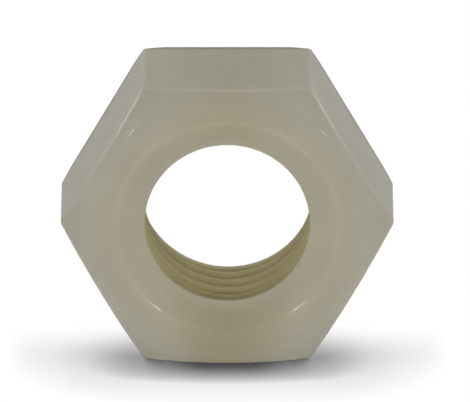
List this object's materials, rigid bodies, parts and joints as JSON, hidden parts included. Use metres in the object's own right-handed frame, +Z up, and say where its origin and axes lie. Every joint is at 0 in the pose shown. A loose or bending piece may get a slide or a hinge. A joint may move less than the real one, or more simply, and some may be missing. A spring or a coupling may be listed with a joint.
{
  "type": "plastic hex nut",
  "caption": "Large hex nut moulded in natural translucent nylon, with a coarse internal thread, a wide front chamfer and a countersunk mouth.",
  "frame": {"origin": "middle of the flat that the nut stands on, half way along the thread", "axes": "+Z up from the lowest flat to the highest, Y along the thread with the chamfered front face looking along -Y, X across two corners"},
  "size_m": [0.0528, 0.022, 0.046],
  "materials": {
    "nylon": "natural uncoloured nylon, milky and slightly translucent, with a soft satin surface"
  },
  "bodies": {
    "root": {"hex_nut": "nylon"}
  },
  "joints": []
}
